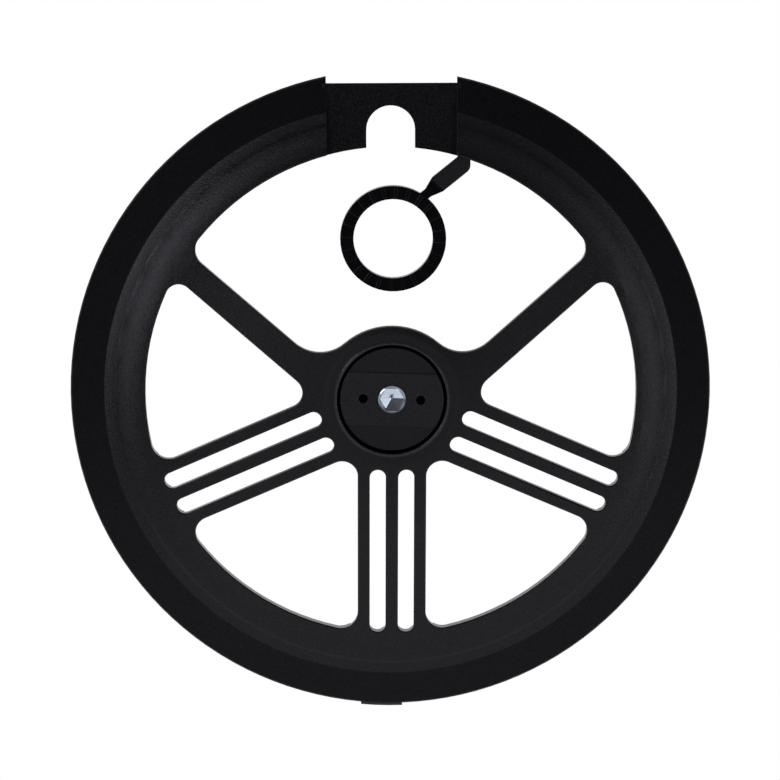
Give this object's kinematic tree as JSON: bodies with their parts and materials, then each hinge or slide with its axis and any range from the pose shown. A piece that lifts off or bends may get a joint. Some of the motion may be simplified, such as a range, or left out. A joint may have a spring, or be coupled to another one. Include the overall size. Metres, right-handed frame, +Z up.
{
  "type": "bicycle chain guard disc",
  "caption": "Dished spoked chain guard disc for a bicycle crank, with a slotted-spoke wheel shape, a crank gap in its rim, a break-off spacer ring and a hub bolt.",
  "frame": {"origin": "on the disc's axis, at the rear face of the hub", "axes": "+Y along the axis, out of the rear of the hub; -Y is the front; +Z up, through the crank gap; +X to the right as seen from the front"},
  "size_m": [0.235, 0.0291, 0.2335],
  "materials": {
    "black_plastic": "fine moulded grain",
    "insert_plastic": "fine moulded grain, slightly smoother",
    "zinc_steel": "blue-white zinc plating"
  },
  "bodies": {
    "root": {"guard_disc": "black_plastic", "hub_insert": "insert_plastic", "hub_bolt": "zinc_steel"}
  },
  "joints": []
}
